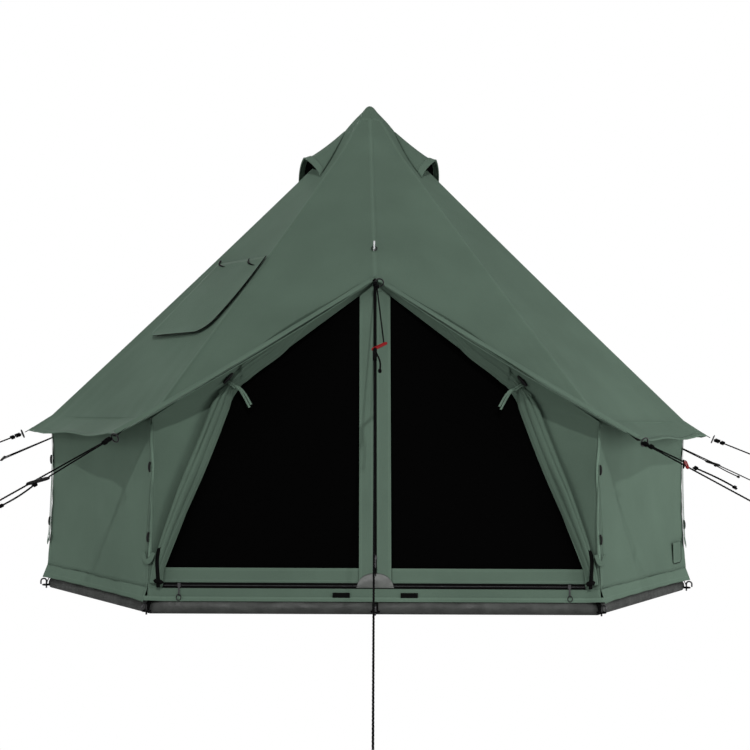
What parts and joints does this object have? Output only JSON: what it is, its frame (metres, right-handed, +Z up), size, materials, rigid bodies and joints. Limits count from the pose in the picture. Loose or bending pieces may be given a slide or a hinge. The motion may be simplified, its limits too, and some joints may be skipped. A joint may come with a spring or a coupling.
{
  "type": "bell tent",
  "caption": "Canvas bell tent: pyramid roof on one centre pole, low side walls, A-frame mesh door, vent hoods, stove flap and guy ropes pegged all round.",
  "frame": {"origin": "on the ground under the centre pole", "axes": "+Z up, the door faces -Y, +X to the right of someone looking at the door"},
  "size_m": [6.5892, 6.9683, 2.4883],
  "materials": {
    "canvas": "matt cotton-polyester canvas, dark green",
    "rope": "braided cord, black",
    "webbing": "woven tape, black",
    "runner_plastic": "moulded, red",
    "peg_wire": "zinc-plated wire",
    "pole_tube": "galvanised tube",
    "black_plastic": "moulded, black",
    "grommet_metal": "dark lacquered ring",
    "groundsheet_pvc": "coated sheet, dark grey",
    "mosquito_mesh": "fine net, black",
    "zip_metal": "die-cast, black lacquer",
    "stove_cloth": "heat-resistant coated cloth"
  },
  "bodies": {
    "root": {"apex_cap": "canvas", "base_loops": "webbing", "base_pegs": "peg_wire", "canvas_door_left": "canvas", "canvas_door_right": "canvas", "centre_pole_cap": "black_plastic", "centre_pole_foot": "black_plastic", "centre_pole_lower": "pole_tube", "centre_pole_middle": "pole_tube", "centre_pole_upper": "pole_tube", "door_frame_apex": "pole_tube", "door_frame_feet": "black_plastic", "door_frame_left_lower": "pole_tube", "door_frame_left_upper": "pole_tube", "door_frame_right_lower": "pole_tube", "door_frame_right_upper": "pole_tube", "door_ties": "webbing", "eave_flap": "canvas", "eave_loops": "webbing", "front_panel_left": "canvas", "front_panel_right": "canvas", "front_sill": "canvas", "groundsheet": "groundsheet_pvc", "guy_return_lines": "rope", "guy_ropes": "rope", "guy_stakes": "peg_wire", "mesh_panel_left": "mosquito_mesh", "mesh_panel_right": "mosquito_mesh", "roof_canopy": "canvas", "roof_grommet": "grommet_metal", "sill_fasteners": "webbing", "sill_zip_tape": "webbing", "stove_pad": "stove_cloth", "threshold_patch": "groundsheet_pvc", "vent_hoods": "canvas", "vent_meshes": "mosquito_mesh", "wall_left": "canvas", "wall_right": "canvas", "wall_ties_left": "webbing", "wall_ties_right": "webbing"},
    "wall_hem_left": {"wall_hem_left": "canvas"},
    "wall_hem_right": {"wall_hem_right": "canvas"},
    "cable_flap": {"cable_flap": "canvas"},
    "mesh_edge_left": {"mesh_edge_left": "canvas"},
    "mesh_edge_right": {"mesh_edge_right": "canvas"},
    "mesh_zip_slider": {"mesh_zip_slider": "zip_metal"},
    "sill_zip_slider_left": {"sill_zip_slider_left": "zip_metal"},
    "sill_zip_slider_right": {"sill_zip_slider_right": "zip_metal"},
    "stove_flap": {"stove_flap": "canvas"},
    "guy_runner_front": {"guy_runner_front": "runner_plastic"},
    "guy_runner_rear": {"guy_runner_rear": "runner_plastic"},
    "guy_runner_left_1": {"guy_runner_left_1": "runner_plastic"},
    "guy_runner_left_2": {"guy_runner_left_2": "runner_plastic"},
    "guy_runner_left_3": {"guy_runner_left_3": "runner_plastic"},
    "guy_runner_left_4": {"guy_runner_left_4": "runner_plastic"},
    "guy_runner_right_1": {"guy_runner_right_1": "runner_plastic"},
    "guy_runner_right_2": {"guy_runner_right_2": "runner_plastic"},
    "guy_runner_right_3": {"guy_runner_right_3": "runner_plastic"},
    "guy_runner_right_4": {"guy_runner_right_4": "runner_plastic"}
  },
  "joints": [
    {"name": "wall_roll_left", "type": "slide", "parent": "root", "child": "wall_hem_left", "axis": [0, 0, 1], "range_m": [0, 0.45], "deforming": ["wall_left", "wall_ties_left"]},
    {"name": "mesh_open_left", "type": "hinge", "parent": "root", "child": "mesh_edge_left", "pos_m": [0, -0.92068, 1.22549], "axis": [0, 0.9699, -0.2433], "range_deg": [0, 33], "deforming": ["mesh_panel_left"]},
    {"name": "wall_roll_right", "type": "slide", "parent": "root", "child": "wall_hem_right", "axis": [0, 0, 1], "range_m": [0, 0.45], "deforming": ["wall_right", "wall_ties_right"]},
    {"name": "mesh_open_right", "type": "hinge", "parent": "root", "child": "mesh_edge_right", "pos_m": [0, -0.92068, 1.22549], "axis": [0, -0.9699, 0.2433], "range_deg": [0, 33], "deforming": ["mesh_panel_right"]},
    {"name": "cable_flap_lift", "type": "hinge", "parent": "wall_hem_right", "child": "cable_flap", "pos_m": [1.15656, -0.84029, 0.229], "axis": [-0.5878, -0.809, 0], "range_deg": [0, 90]},
    {"name": "mesh_zip", "type": "slide", "parent": "mesh_edge_right", "child": "mesh_zip_slider", "axis": [0, 0.2433, 0.9699], "range_m": [0, 1]},
    {"name": "sill_zip_left", "type": "slide", "parent": "root", "child": "sill_zip_slider_left", "axis": [1, 0, 0], "range_m": [0, 0.66]},
    {"name": "sill_zip_right", "type": "slide", "parent": "root", "child": "sill_zip_slider_right", "axis": [-1, 0, 0], "range_m": [0, 0.66]},
    {"name": "stove_flap_lift", "type": "hinge", "parent": "root", "child": "stove_flap", "pos_m": [-0.61431, -0.44632, 1.4748], "axis": [-0.5878, 0.809, 0], "range_deg": [0, 150]},
    {"name": "guy_tension_front", "type": "slide", "parent": "root", "child": "guy_runner_front", "axis": [0.0307, 0.8781, 0.4775], "range_m": [0, 0.25], "deforming": ["guy_return_lines"]},
    {"name": "guy_tension_rear", "type": "slide", "parent": "root", "child": "guy_runner_rear", "axis": [0, -0.9285, 0.3714], "range_m": [0, 0.25], "deforming": ["guy_return_lines"]},
    {"name": "guy_tension_left_1", "type": "slide", "parent": "root", "child": "guy_runner_left_1", "axis": [0.5457, 0.7512, 0.3714], "range_m": [0, 0.25], "deforming": ["guy_return_lines"]},
    {"name": "guy_tension_left_2", "type": "slide", "parent": "root", "child": "guy_runner_left_2", "axis": [0.883, 0.2869, 0.3714], "range_m": [0, 0.25], "deforming": ["guy_return_lines"]},
    {"name": "guy_tension_left_3", "type": "slide", "parent": "root", "child": "guy_runner_left_3", "axis": [0.883, -0.2869, 0.3714], "range_m": [0, 0.25], "deforming": ["guy_return_lines"]},
    {"name": "guy_tension_left_4", "type": "slide", "parent": "root", "child": "guy_runner_left_4", "axis": [0.5457, -0.7512, 0.3714], "range_m": [0, 0.25], "deforming": ["guy_return_lines"]},
    {"name": "guy_tension_right_1", "type": "slide", "parent": "root", "child": "guy_runner_right_1", "axis": [-0.5457, 0.7512, 0.3714], "range_m": [-0.1, 0.15], "deforming": ["guy_return_lines"]},
    {"name": "guy_tension_right_2", "type": "slide", "parent": "root", "child": "guy_runner_right_2", "axis": [-0.883, 0.2869, 0.3714], "range_m": [0, 0.25], "deforming": ["guy_return_lines"]},
    {"name": "guy_tension_right_3", "type": "slide", "parent": "root", "child": "guy_runner_right_3", "axis": [-0.883, -0.2869, 0.3714], "range_m": [0, 0.25], "deforming": ["guy_return_lines"]},
    {"name": "guy_tension_right_4", "type": "slide", "parent": "root", "child": "guy_runner_right_4", "axis": [-0.5457, -0.7512, 0.3714], "range_m": [0, 0.25], "deforming": ["guy_return_lines"]}
  ]
}
